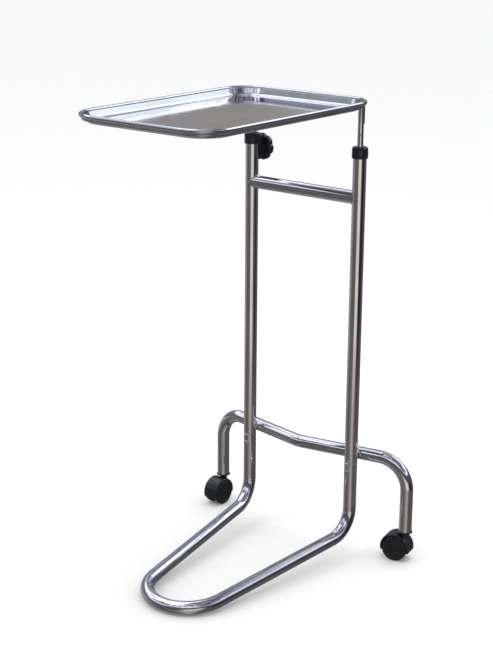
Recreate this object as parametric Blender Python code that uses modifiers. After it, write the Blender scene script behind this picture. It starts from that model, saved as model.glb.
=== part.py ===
"""Double-post instrument stand with a lift-off stainless tray.

A bent U foot carries two upright posts. A crossbar welded behind the posts turns down at its
ends to two swivel casters, so the foot slopes from the casters to the floor at its front bend.
Two rods telescope in the posts and carry the tray frame; a hand knob clamps the left rod.

Metres, +Z up, +X to the right seen from the front, front towards -Y, floor at z = 0.
Inside the stand the posts stand on y = 0; the root empty centres the footprint on the origin.
"""

import bpy
import bmesh
import math
from mathutils import Matrix, Vector

# ------------------------------------------------------------------ driving dimensions
FOOTPRINT_X = 0.00110          # root offset that centres the footprint on the origin
FOOTPRINT_Y = 0.2064
GAP = 0.0003                   # clearance kept between touching pieces
EDGE = 0.0006                  # usual chamfer or rounding of a small piece
SOFT_EDGE = 0.0008
DRILL = 0.030                  # length of the tools that bore through one wall
WELD_DISTANCE = 0.000005       # points nearer than this are merged

TUBE_R = 0.0127                # 1 in tube
TUBE_WALL = 0.0015
TUBE_SIDES = 16
BORE_R = TUBE_R - TUBE_WALL

POST_X = 0.126                 # post axis, left and right
SEAM_Z = 0.193                 # knock-down joint between stub and post
POST_TOP = 0.8087
RAIL_Z = 0.7192
SLEEVE_R = BORE_R - GAP
SLEEVE_BORE_R = 0.0085
SLEEVE_REACH = 0.045           # sleeve length each side of the seam
SCREW_Z = 0.1743
SCREW_HEAD_R = 0.0045
SCREW_HEAD_RIM = 0.0006        # straight rim under the domed head
SCREW_DOME = 0.0018
SCREW_LENGTH = 0.0055
SOCKET_R = 0.0014              # six-sided socket in the head
SOCKET_FLOOR = 0.0010
SCREW_SHANK_R = 0.0024

FOOT_REAR_Z = 0.0458           # axis height of the foot under the posts
FOOT_FRONT_Y = -0.4175
FOOT_FRONT_X = 0.0708
FOOT_REAR_BEND = 0.0533
FRONT_ROUNDING = 0.995         # how nearly the two front bends meet in one arc

BAR_Z = 0.2064                 # caster crossbar
BAR_APEX_Y = -0.0018
BAR_END_Y = 0.0419
BAR_END_X = 0.2310
BAR_APEX_BEND = 0.0690
BAR_END_BEND = 0.0600
BAR_FOOT_Z = 0.0610
WELD_Y = 0.0158                # weld beads in the corner between bar and post
WELD_RISE = 0.0118
WELD_SIZE = (0.0095, 0.0042, 0.0042)

COLLAR_R = 0.0151
COLLAR_Z0 = 0.7936
COLLAR_Z1 = 0.8153
COLLAR_ROUNDING = 0.0045
COLLAR_FOOT = (0.0009, 0.0018)  # chamfer at the lower edge, across and up
ROD_R = 0.00555                # 7/16 in telescoping rod
ROD_HOLE_R = ROD_R + 0.0004
ROD_FOOT_Z = 0.370
ROD_TOP_Z = 0.8911
ROD_CHAMFER = 0.0016
ROD_FOOT_CHAMFER = 0.0010
PIN_Z = 0.8367                 # cross pin through each rod, above the collar
PIN_R = 0.0018
PIN_HALF = ROD_R - 0.0001
PIN_TURN = math.radians(45.0)
GUIDE_R = 0.0107
GUIDE_LENGTH = 0.020
GUIDE_RISE = 0.002             # guide's foot above the rod's foot

CLAMP_Z = 0.7835               # axis of the clamp screw, square to the tray
LUG_HALF_WIDTH = 0.0100
LUG_Y = (0.0070, 0.0215)
LUG_DROP = 0.0060              # lug's top below the collar's top
STUD_R = 0.0039
STUD_Y = (ROD_R + GAP, 0.0335)
PAD_R = 0.0030
PAD_END_Y = 0.0092
INSERT_R = 0.0056
KNOB_R = 0.0247                # mean radius of the lobed rim
KNOB_LOBE = 0.0017
KNOB_LOBES = 7
KNOB_PHASE = 0.18              # angle of one lobe, radians
KNOB_ROUNDING = 0.0022
KNOB_Y = (0.0240, 0.0368)
KNOB_HUB_R = 0.0110
KNOB_HUB_Y = 0.0221
KNOB_HUB_LENGTH = 0.0040

TRAY_X = 0.1605                # half width over the rim (12 5/8 in)
TRAY_REAR_Y = 0.0118
TRAY_FRONT_Y = -0.4740         # 19 1/8 in long
TRAY_CORNER = 0.064
TRAY_TOP = 0.9045
TRAY_SHEET = 0.0009
BEAD_R = 0.0036                # rolled rim, middle of the sheet
BEAD_CURL = 285.0              # degrees that the rim is rolled round
TRAY_FLOOR = 0.8870            # middle of the floor's sheet, about 11/16 in below the rim
FLOOR_INSET = 0.0140           # corner between wall and floor, from the rim's edge
FLOOR_BEND = 0.0080

FRAME_R = 0.0025               # 5 mm rod loop under the rim
FRAME_INSET = 0.0070
FRAME_Z = 0.8940
BRACE_Y = 0.0084
BRACE_FOOT_Z = 0.8560
BRACE_TOP_Z = 0.8945
BRACE_CHAMFER = 0.0006

WHEEL_R = 0.0255               # twin-wheel caster
WHEEL_INNER = 0.0062
WHEEL_OUTER = 0.0185
RIM_WIDTH = 0.0055             # raised ring round each wheel's face
RIM_SLOPE = 0.0012
RIM_ROUNDING = (0.0009, 0.0028, 0.0010, 0.0034)
TREAD_ROUNDING = (0.0014, 0.0020)
DISC_STEP = 0.0016             # disc set back from the ring
CAP_R = 0.0060                 # cap at the wheel's centre
CAP_STEP = 0.0006
CAP_SLOPE = 0.0010
WEB_HALF = 0.0056
WEB_LOW = 0.0120               # web's lower corner over the axle's height
WEB_OVERLAP = 0.0020           # web's reach up into the neck
TRAIL = 0.0165
HOOD_R = 0.0300
HOOD_THICK = 0.0022
HOOD_HALF_WIDTH = 0.0172
HOOD_SECTOR = (-12.0, 196.0)   # degrees from the pivot side, over the top
NECK_TOP = 0.0562
NECK_FOOT = 0.0470
NECK_R = 0.0068
FLANGE_R = 0.0146
FLANGE_THICK = 0.0018
FLANGE_TAPER = (0.0022, 0.0030)
PLUG_TAPER = (0.0017, 0.0020)
PLUG_OVER_STEM = 0.0015
STEM_R = 0.0036
STEM_Z = (0.0387, 0.0845)
AXLE_R = 0.0030
AXLE_SHORT = 0.0032            # axle's end behind the wheel's face
CASTERS = {"left": (-BAR_END_X, 0.0),
           "right": (BAR_END_X, math.radians(-79.0))}
SIDES = {"left": -1.0, "right": 1.0}

# ------------------------------------------------------------------ scene and collections
for old in list(bpy.data.objects):
    bpy.data.objects.remove(old, do_unlink=True)

parts = bpy.data.collections.new("instrument_stand")
cutters = bpy.data.collections.new("cutters")
bpy.context.scene.collection.children.link(parts)
bpy.context.scene.collection.children.link(cutters)

root = bpy.data.objects.new("stand_root", None)
root.location = (FOOTPRINT_X, FOOTPRINT_Y, 0.0)
parts.objects.link(root)


# ------------------------------------------------------------------ materials
def material(name, color, roughness, metallic):
    """Principled material with one colour, roughness and metallic value."""
    mat = bpy.data.materials.new(name)
    mat.use_nodes = True
    shader = mat.node_tree.nodes["Principled BSDF"]
    shader.inputs["Base Color"].default_value = (*color, 1.0)
    shader.inputs["Roughness"].default_value = roughness
    shader.inputs["Metallic"].default_value = metallic
    return mat


FINISHES = {
    "chrome": ((0.78, 0.77, 0.78), 0.09, 1.0),
    "stainless": ((0.72, 0.74, 0.76), 0.24, 1.0),
    "steel": ((0.56, 0.56, 0.57), 0.30, 1.0),
    "brass": ((0.78, 0.60, 0.30), 0.30, 1.0),
    "weld": ((0.52, 0.51, 0.50), 0.38, 1.0),
    "black_plastic": ((0.035, 0.036, 0.040), 0.38, 0.0),
    "wheel_plastic": ((0.045, 0.047, 0.052), 0.50, 0.0),
    "nylon": ((0.80, 0.79, 0.74), 0.55, 0.0),
}


# ------------------------------------------------------------------ building helpers
def add(name, data, finish, parent=root, location=(0, 0, 0), rotation=(0, 0, 0)):
    """Put a mesh or curve in the parts collection under its own material."""
    obj = bpy.data.objects.new(name, data)
    parts.objects.link(obj)
    obj.parent = parent
    obj.location = location
    obj.rotation_euler = rotation
    data.materials.clear()
    data.materials.append(material(name + "_" + finish, *FINISHES[finish]))
    return obj


def smooth(mesh, degrees=35.0):
    mesh.shade_smooth()
    mesh.set_sharp_from_angle(angle=math.radians(degrees))


def cylinder_mesh(radius, length, sides=TUBE_SIDES, top_radius=None):
    """Capped cylinder along +Z from the origin, or a cone frustum."""
    mesh = bpy.data.meshes.new("cylinder")
    bm = bmesh.new()
    bmesh.ops.create_cone(bm, cap_ends=True, segments=sides, radius1=radius,
                          radius2=radius if top_radius is None else top_radius, depth=length,
                          matrix=Matrix.Translation((0, 0, length / 2)))
    bm.to_mesh(mesh)
    bm.free()
    smooth(mesh)
    return mesh


def turned_mesh(profile, closed=False, sides=24):
    """Turn a profile of (radius, height) about Z; it runs down its outer side."""
    bm = bmesh.new()
    verts = [bm.verts.new((r, 0.0, z)) for r, z in profile]
    for first, second in zip(verts, verts[1:] + (verts[:1] if closed else [])):
        bm.edges.new((first, second))
    mesh = bpy.data.meshes.new("profile")
    bm.to_mesh(mesh)
    bm.free()
    obj = bpy.data.objects.new("profile", mesh)
    cutters.objects.link(obj)
    screw = obj.modifiers.new("Screw", "SCREW")
    screw.axis = "Z"
    screw.steps = screw.render_steps = sides
    screw.use_merge_vertices = True
    screw.merge_threshold = 2 * WELD_DISTANCE
    turned = evaluated_mesh(obj)
    bpy.data.objects.remove(obj, do_unlink=True)
    smooth(turned)
    return turned


def evaluated_mesh(obj):
    """The object's mesh with its modifiers, loose caps welded."""
    bpy.context.view_layer.update()
    graph = bpy.context.evaluated_depsgraph_get()
    mesh = bpy.data.meshes.new_from_object(obj.evaluated_get(graph), depsgraph=graph)
    bm = bmesh.new()
    bm.from_mesh(mesh)
    bmesh.ops.remove_doubles(bm, verts=bm.verts, dist=WELD_DISTANCE)
    bm.to_mesh(mesh)
    bm.free()
    return mesh


def rounded_path(corners, radii, steps, closed=False):
    """Corner points joined by straight runs and circular bends."""
    corners = [Vector(c) for c in corners]
    count = len(corners)
    path = []
    for index, corner in enumerate(corners):
        if not closed and index in (0, count - 1):
            path.append(corner)
            continue
        back = (corners[index - 1] - corner).normalized()
        ahead = (corners[(index + 1) % count] - corner).normalized()
        half = back.angle(ahead) / 2
        radius = radii[index]
        centre = corner + (back + ahead).normalized() * radius / math.sin(half)
        start = corner + back * radius / math.tan(half) - centre
        side = (ahead * radius / math.tan(half) + corner - centre)
        side = (side - start * side.dot(start) / radius ** 2).normalized() * radius
        sweep = math.pi - 2 * half
        for step in range(steps[index] + 1):
            angle = sweep * step / steps[index]
            path.append(centre + start * math.cos(angle) + side * math.sin(angle))
    return path


def rod_curve(name, path, radius, sides, caps=True, closed=False):
    """Round bar along a path, as a bevelled curve."""
    curve = bpy.data.curves.new(name, "CURVE")
    curve.dimensions = "3D"
    curve.bevel_depth = radius
    curve.bevel_resolution = sides // 2 - 2
    curve.use_fill_caps = caps
    spline = curve.splines.new("POLY")
    spline.points.add(len(path) - 1)
    for point, where in zip(spline.points, path):
        point.co = (*where, 1.0)
    spline.use_cyclic_u = closed
    spline.use_smooth = True
    return curve


def bent_tube(name, path, finish):
    """Open-ended tube along a path: a bevelled curve's skin thickened inwards."""
    guide = bpy.data.objects.new(name + "_guide", rod_curve(name + "_guide", path, TUBE_R,
                                                            TUBE_SIDES, caps=False))
    cutters.objects.link(guide)
    mesh = evaluated_mesh(guide)
    bpy.data.objects.remove(guide, do_unlink=True)
    smooth(mesh)
    obj = add(name, mesh, finish)
    shell = obj.modifiers.new("Wall", "SOLIDIFY")
    shell.thickness = TUBE_WALL
    shell.offset = -1.0
    shell.use_even_offset = True
    return obj


def outline_mesh(outline, half_thickness, rounding=0.0):
    """Flat outline in XY, extruded both ways along Z, with rounded rims."""
    curve = bpy.data.curves.new("outline", "CURVE")
    curve.dimensions = "2D"
    curve.fill_mode = "BOTH"
    curve.extrude = half_thickness - rounding
    curve.bevel_depth = rounding
    curve.bevel_resolution = 1
    curve.offset = -rounding
    spline = curve.splines.new("POLY")
    spline.points.add(len(outline) - 1)
    for point, (x, y) in zip(spline.points, outline):
        point.co = (x, y, 0.0, 1.0)
    spline.use_cyclic_u = True
    obj = bpy.data.objects.new("outline", curve)
    cutters.objects.link(obj)
    mesh = evaluated_mesh(obj)
    bpy.data.objects.remove(obj, do_unlink=True)
    smooth(mesh)
    return mesh


def arc(centre, radius, start, end, steps):
    """Points on an arc in a plane, angles in degrees."""
    for step in range(steps + 1):
        angle = math.radians(start + (end - start) * step / steps)
        yield (centre[0] + radius * math.cos(angle), centre[1] + radius * math.sin(angle))


def combine(obj, mesh, matrix, operation):
    """Cut or join a mesh, placed in the same parent's space, with an EXACT Boolean."""
    tool = bpy.data.objects.new(obj.name + "_" + operation.lower(), mesh)
    cutters.objects.link(tool)
    tool.parent = obj.parent
    tool.matrix_local = matrix
    tool.hide_render = True
    tool.display_type = "WIRE"
    boolean = obj.modifiers.new(operation.title(), "BOOLEAN")
    boolean.operation = operation
    boolean.solver = "EXACT"
    boolean.object = tool


def cut(obj, mesh, matrix):
    combine(obj, mesh, matrix, "DIFFERENCE")


def join(obj, mesh, matrix):
    combine(obj, mesh, matrix, "UNION")


def at(x, y, z):
    return Matrix.Translation((x, y, z))


# Cylinders are made along +Z; these lay them along +Y and +X.
ALONG_Y = Matrix.Rotation(math.radians(-90.0), 4, "X")
ALONG_X = Matrix.Rotation(math.radians(90.0), 4, "Y")


def tube_profile(outer, inner, bottom, top):
    return [(outer, top), (outer, bottom), (inner, bottom), (inner, top)]


# ------------------------------------------------------------------ posts, rail and sleeves
for side, sign in SIDES.items():
    post = add("post_" + side, turned_mesh(tube_profile(TUBE_R, BORE_R, SEAM_Z + GAP / 2, POST_TOP),
                                           closed=True), "chrome", location=(sign * POST_X, 0, 0))
    if side == "left":
        cut(post, cylinder_mesh(STUD_R + GAP, DRILL, sides=16), at(-POST_X, 0, CLAMP_Z) @ ALONG_Y)

    sleeve = add("coupling_sleeve_" + side,
                 turned_mesh(tube_profile(SLEEVE_R, SLEEVE_BORE_R, SEAM_Z - SLEEVE_REACH,
                                          SEAM_Z + SLEEVE_REACH), closed=True),
                 "steel", location=(sign * POST_X, 0, 0))
    cut(sleeve, cylinder_mesh(SCREW_SHANK_R + GAP, DRILL, sides=12),
        at(sign * POST_X, -DRILL, SCREW_Z) @ ALONG_Y)

    head = [(0.0, SCREW_HEAD_RIM + SCREW_DOME)]
    head += [(SCREW_HEAD_R * math.sin(math.radians(a)),
              SCREW_HEAD_RIM + SCREW_DOME * math.cos(math.radians(a))) for a in (26, 49, 69, 86)]
    head += [(SCREW_HEAD_R, 0.0), (SCREW_SHANK_R, 0.0), (SCREW_SHANK_R, -SCREW_LENGTH),
             (0.0, -SCREW_LENGTH)]
    screw_object = add("coupling_screw_" + side, turned_mesh(head, sides=16), "steel",
                       location=(sign * POST_X, -TUBE_R - GAP, SCREW_Z),
                       rotation=(math.radians(90.0), 0, 0))
    cut(screw_object, cylinder_mesh(SOCKET_R, DRILL, sides=6),
        at(sign * POST_X, -TUBE_R - GAP - SOCKET_FLOOR - DRILL, SCREW_Z) @ ALONG_Y)

rail = add("cross_rail", turned_mesh(tube_profile(TUBE_R, BORE_R, -POST_X, POST_X), closed=True),
           "chrome", location=(0, 0, RAIL_Z), rotation=(0, math.radians(90.0), 0))
for sign in SIDES.values():
    cut(rail, cylinder_mesh(TUBE_R + GAP, 4 * TUBE_R, sides=32),
        at(sign * POST_X, 0, RAIL_Z - 2 * TUBE_R))

# ------------------------------------------------------------------ U foot
leg = Vector((FOOT_FRONT_X - POST_X, FOOT_FRONT_Y, TUBE_R - FOOT_REAR_Z))
front_half = leg.angle(Vector((1.0, 0.0, 0.0))) / 2
front_bend = FRONT_ROUNDING * FOOT_FRONT_X * math.tan(front_half)
foot_path = rounded_path(
    [(-POST_X, 0, SEAM_Z - GAP / 2), (-POST_X, 0, FOOT_REAR_Z),
     (-FOOT_FRONT_X, FOOT_FRONT_Y, TUBE_R), (FOOT_FRONT_X, FOOT_FRONT_Y, TUBE_R),
     (POST_X, 0, FOOT_REAR_Z), (POST_X, 0, SEAM_Z - GAP / 2)],
    [0, FOOT_REAR_BEND, front_bend, front_bend, FOOT_REAR_BEND, 0], [0, 8, 9, 9, 8, 0])
foot = bent_tube("base_tube", foot_path, "chrome")
for sign in SIDES.values():
    cut(foot, cylinder_mesh(SCREW_SHANK_R + GAP, DRILL, sides=12),
        at(sign * POST_X, -DRILL, SCREW_Z) @ ALONG_Y)

# ------------------------------------------------------------------ caster crossbar
bar_path = rounded_path(
    [(-BAR_END_X, BAR_END_Y, BAR_FOOT_Z), (-BAR_END_X, BAR_END_Y, BAR_Z), (0, BAR_APEX_Y, BAR_Z),
     (BAR_END_X, BAR_END_Y, BAR_Z), (BAR_END_X, BAR_END_Y, BAR_FOOT_Z)],
    [0, BAR_END_BEND, BAR_APEX_BEND, BAR_END_BEND, 0], [0, 9, 4, 9, 0])
crossbar = bent_tube("caster_crossbar", bar_path, "chrome")

# The bar is notched where it sits on the posts; a weld bead fills the corner above and below.
bar_sweep = math.atan2(BAR_END_Y - BAR_APEX_Y, BAR_END_X)
bar_at_post = BAR_APEX_Y + POST_X * math.tan(bar_sweep)
for side, sign in SIDES.items():
    post_space = cylinder_mesh(TUBE_R + GAP, 4 * TUBE_R, sides=32)
    below_bar = at(sign * POST_X, 0, BAR_Z - 2 * TUBE_R)
    cut(crossbar, post_space, below_bar)
    along_bar = (at(sign * POST_X, bar_at_post, BAR_Z) @ Matrix.Rotation(sign * bar_sweep, 4, "Z")
                 @ at(-2 * TUBE_R, 0, 0) @ ALONG_X)
    for level, rise in (("upper", WELD_RISE), ("lower", -WELD_RISE)):
        bead = bpy.data.meshes.new("bead")
        bm = bmesh.new()
        bmesh.ops.create_uvsphere(bm, u_segments=16, v_segments=10, radius=1.0)
        bmesh.ops.scale(bm, vec=WELD_SIZE, verts=bm.verts)
        bm.to_mesh(bead)
        bm.free()
        smooth(bead)
        weld = add("crossbar_weld_%s_%s" % (side, level), bead, "weld",
                   location=(sign * POST_X, WELD_Y, BAR_Z + rise))
        cut(weld, post_space, below_bar)
        cut(weld, cylinder_mesh(TUBE_R + GAP, 4 * TUBE_R, sides=32), along_bar)

# ------------------------------------------------------------------ collars and height clamp
collar_cap = [(ROD_HOLE_R, COLLAR_Z1)]
shoulder = (COLLAR_R - COLLAR_ROUNDING, COLLAR_Z1 - COLLAR_ROUNDING)
collar_foot = [(COLLAR_R, COLLAR_Z0 + COLLAR_FOOT[1]), (COLLAR_R - COLLAR_FOOT[0], COLLAR_Z0)]
collar_side = list(reversed(list(arc(shoulder, COLLAR_ROUNDING, 0.0, 90.0, 4)))) + collar_foot
collar_cap += collar_side
collar_cap += [(TUBE_R + GAP, COLLAR_Z0), (TUBE_R + GAP, POST_TOP + GAP),
               (ROD_HOLE_R, POST_TOP + GAP)]
add("guide_collar", turned_mesh(collar_cap, closed=True), "black_plastic",
    location=(POST_X, 0, 0))

solid_cap = [(0.0, COLLAR_Z1)] + collar_side + [(0.0, COLLAR_Z0)]
clamp_collar = add("clamp_collar", turned_mesh(solid_cap), "black_plastic",
                   location=(-POST_X, 0, 0))
lug_top = COLLAR_Z1 - LUG_DROP - CLAMP_Z
lug_outline = [(LUG_HALF_WIDTH, lug_top), (-LUG_HALF_WIDTH, lug_top)]
lug_outline += list(arc((0.0, 0.0), LUG_HALF_WIDTH, 180.0, 360.0, 12))
lug_half = (LUG_Y[1] - LUG_Y[0]) / 2
upright = Matrix.Rotation(math.radians(90.0), 4, "X")
join(clamp_collar, outline_mesh(lug_outline, lug_half, rounding=SOFT_EDGE),
     at(-POST_X, LUG_Y[0] + lug_half, CLAMP_Z) @ upright)
below_lug = CLAMP_Z - 2 * LUG_HALF_WIDTH
cut(clamp_collar, cylinder_mesh(TUBE_R + GAP, POST_TOP + GAP - below_lug, sides=24),
    at(-POST_X, 0, below_lug))
cut(clamp_collar, cylinder_mesh(ROD_HOLE_R, DRILL), at(-POST_X, 0, POST_TOP - DRILL / 2))
cut(clamp_collar, cylinder_mesh(INSERT_R + GAP, DRILL, sides=16),
    at(-POST_X, 0, CLAMP_Z) @ ALONG_Y)

insert_length = LUG_Y[1] - TUBE_R - 2 * GAP
add("clamp_insert", turned_mesh(tube_profile(INSERT_R, STUD_R + GAP, 0.0, insert_length),
                                closed=True, sides=16),
    "brass", location=(-POST_X, LUG_Y[1], CLAMP_Z), rotation=(math.radians(90.0), 0, 0))

clamp_axis = bpy.data.objects.new("clamp_axis", None)
clamp_axis.location = (-POST_X, 0.0, CLAMP_Z)
clamp_axis.rotation_euler = (math.radians(-90.0), 0, 0)
parts.objects.link(clamp_axis)
clamp_axis.parent = root
stud_profile = [(0.0, STUD_Y[1]), (STUD_R - EDGE, STUD_Y[1]), (STUD_R, STUD_Y[1] - EDGE),
                (STUD_R, PAD_END_Y + SOFT_EDGE), (PAD_R, PAD_END_Y),
                (PAD_R, STUD_Y[0] + SOFT_EDGE), (PAD_R - SOFT_EDGE, STUD_Y[0]), (0.0, STUD_Y[0])]
add("clamp_stud", turned_mesh(stud_profile, sides=16), "steel", parent=clamp_axis)

knob_outline = []
for step in range(8 * KNOB_LOBES):
    angle = 2 * math.pi * step / (8 * KNOB_LOBES)
    reach = KNOB_R + KNOB_LOBE * math.cos(KNOB_LOBES * angle)
    knob_outline.append((reach * math.cos(angle + KNOB_PHASE),
                         reach * math.sin(angle + KNOB_PHASE)))
knob_half = (KNOB_Y[1] - KNOB_Y[0]) / 2
knob = add("clamp_knob", outline_mesh(knob_outline, knob_half, rounding=KNOB_ROUNDING),
           "black_plastic", parent=clamp_axis, location=(0, 0, KNOB_Y[0] + knob_half))
join(knob, cylinder_mesh(KNOB_HUB_R, KNOB_HUB_LENGTH, sides=24), at(0, 0, KNOB_HUB_Y))
before_hub = KNOB_HUB_Y - KNOB_HUB_LENGTH
cut(knob, cylinder_mesh(STUD_R + GAP, STUD_Y[1] + GAP - before_hub, sides=16),
    at(0, 0, before_hub))

# ------------------------------------------------------------------ telescoping rods
for side, sign in SIDES.items():
    rod_profile = [(0.0, ROD_TOP_Z), (ROD_R - ROD_CHAMFER, ROD_TOP_Z),
                   (ROD_R, ROD_TOP_Z - ROD_CHAMFER), (ROD_R, ROD_FOOT_Z + ROD_FOOT_CHAMFER),
                   (ROD_R - ROD_FOOT_CHAMFER, ROD_FOOT_Z), (0.0, ROD_FOOT_Z)]
    rod = add("inner_rod_" + side, turned_mesh(rod_profile, sides=20), "chrome",
              location=(sign * POST_X, 0, 0))
    across = at(sign * POST_X, 0, PIN_Z) @ Matrix.Rotation(PIN_TURN, 4, "Z")
    cut(rod, cylinder_mesh(PIN_R + GAP, DRILL, sides=12), across @ at(0, -DRILL / 2, 0) @ ALONG_Y)
    add("rod_pin_" + side, cylinder_mesh(PIN_R, 2 * PIN_HALF, sides=12), "steel",
        location=(sign * POST_X + math.sin(PIN_TURN) * PIN_HALF, -math.cos(PIN_TURN) * PIN_HALF,
                  PIN_Z),
        rotation=(math.radians(-90.0), 0, PIN_TURN))
    guide_profile = [(GUIDE_R - SOFT_EDGE, GUIDE_LENGTH), (GUIDE_R, GUIDE_LENGTH - SOFT_EDGE),
                     (GUIDE_R, SOFT_EDGE), (GUIDE_R - SOFT_EDGE, 0.0), (ROD_R + GAP, 0.0),
                     (ROD_R + GAP, GUIDE_LENGTH)]
    add("rod_guide_" + side, turned_mesh(guide_profile, closed=True), "nylon",
        location=(sign * POST_X, 0, ROD_FOOT_Z + GUIDE_RISE))


# ------------------------------------------------------------------ tray frame and tray
def tray_ring(inset, height, steps):
    """Rounded rectangle set in from the rim's outer edge."""
    x = TRAY_X - inset
    front, rear = TRAY_FRONT_Y + inset, TRAY_REAR_Y - inset
    return rounded_path([(-x, front, height), (x, front, height), (x, rear, height),
                         (-x, rear, height)], [TRAY_CORNER - inset] * 4, [steps] * 4, closed=True)


frame_guide = rod_curve("tray_frame", tray_ring(FRAME_INSET, FRAME_Z, 10), FRAME_R, 12,
                        closed=True)
add("tray_frame", frame_guide, "chrome")

for side, sign in SIDES.items():
    brace = [(0.0, BRACE_TOP_Z), (FRAME_R - BRACE_CHAMFER, BRACE_TOP_Z),
             (FRAME_R, BRACE_TOP_Z - BRACE_CHAMFER), (FRAME_R, BRACE_FOOT_Z + BRACE_CHAMFER),
             (FRAME_R - BRACE_CHAMFER, BRACE_FOOT_Z), (0.0, BRACE_FOOT_Z)]
    add("frame_brace_" + side, turned_mesh(brace, sides=12), "chrome",
        location=(sign * POST_X, BRACE_Y, 0))


def tray_section():
    """Half section of the sheet: floor's edge, bend, wall, rolled bead."""
    bead = (BEAD_R + TRAY_SHEET / 2, TRAY_TOP - BEAD_R - TRAY_SHEET / 2)
    corners = [(FLOOR_INSET + 2 * FLOOR_BEND, 0.0, TRAY_FLOOR), (FLOOR_INSET, 0.0, TRAY_FLOOR),
               (bead[0] + BEAD_R, 0.0, bead[1])]
    section = [(p.x, p.z) for p in rounded_path(corners, [0, FLOOR_BEND, 0], [0, 5, 0])]
    section += list(arc(bead, BEAD_R, 0.0, BEAD_CURL, 8))[1:]
    return section[1:]


tray_mesh = bpy.data.meshes.new("tray")
bm = bmesh.new()
rings = []
for inset, height in tray_section():
    rings.append([bm.verts.new(p) for p in tray_ring(inset, height, 7)])
for low, high in zip(rings, rings[1:]):
    for k in range(len(low)):
        n = (k + 1) % len(low)
        bm.faces.new((low[k], low[n], high[n], high[k]))
bm.faces.new(rings[0])
bmesh.ops.recalc_face_normals(bm, faces=bm.faces)
bm.to_mesh(tray_mesh)
bm.free()
smooth(tray_mesh, 40.0)
tray = add("tray", tray_mesh, "stainless")
sheet = tray.modifiers.new("Sheet", "SOLIDIFY")
sheet.thickness = TRAY_SHEET
sheet.offset = 0.0
sheet.use_even_offset = True

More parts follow.
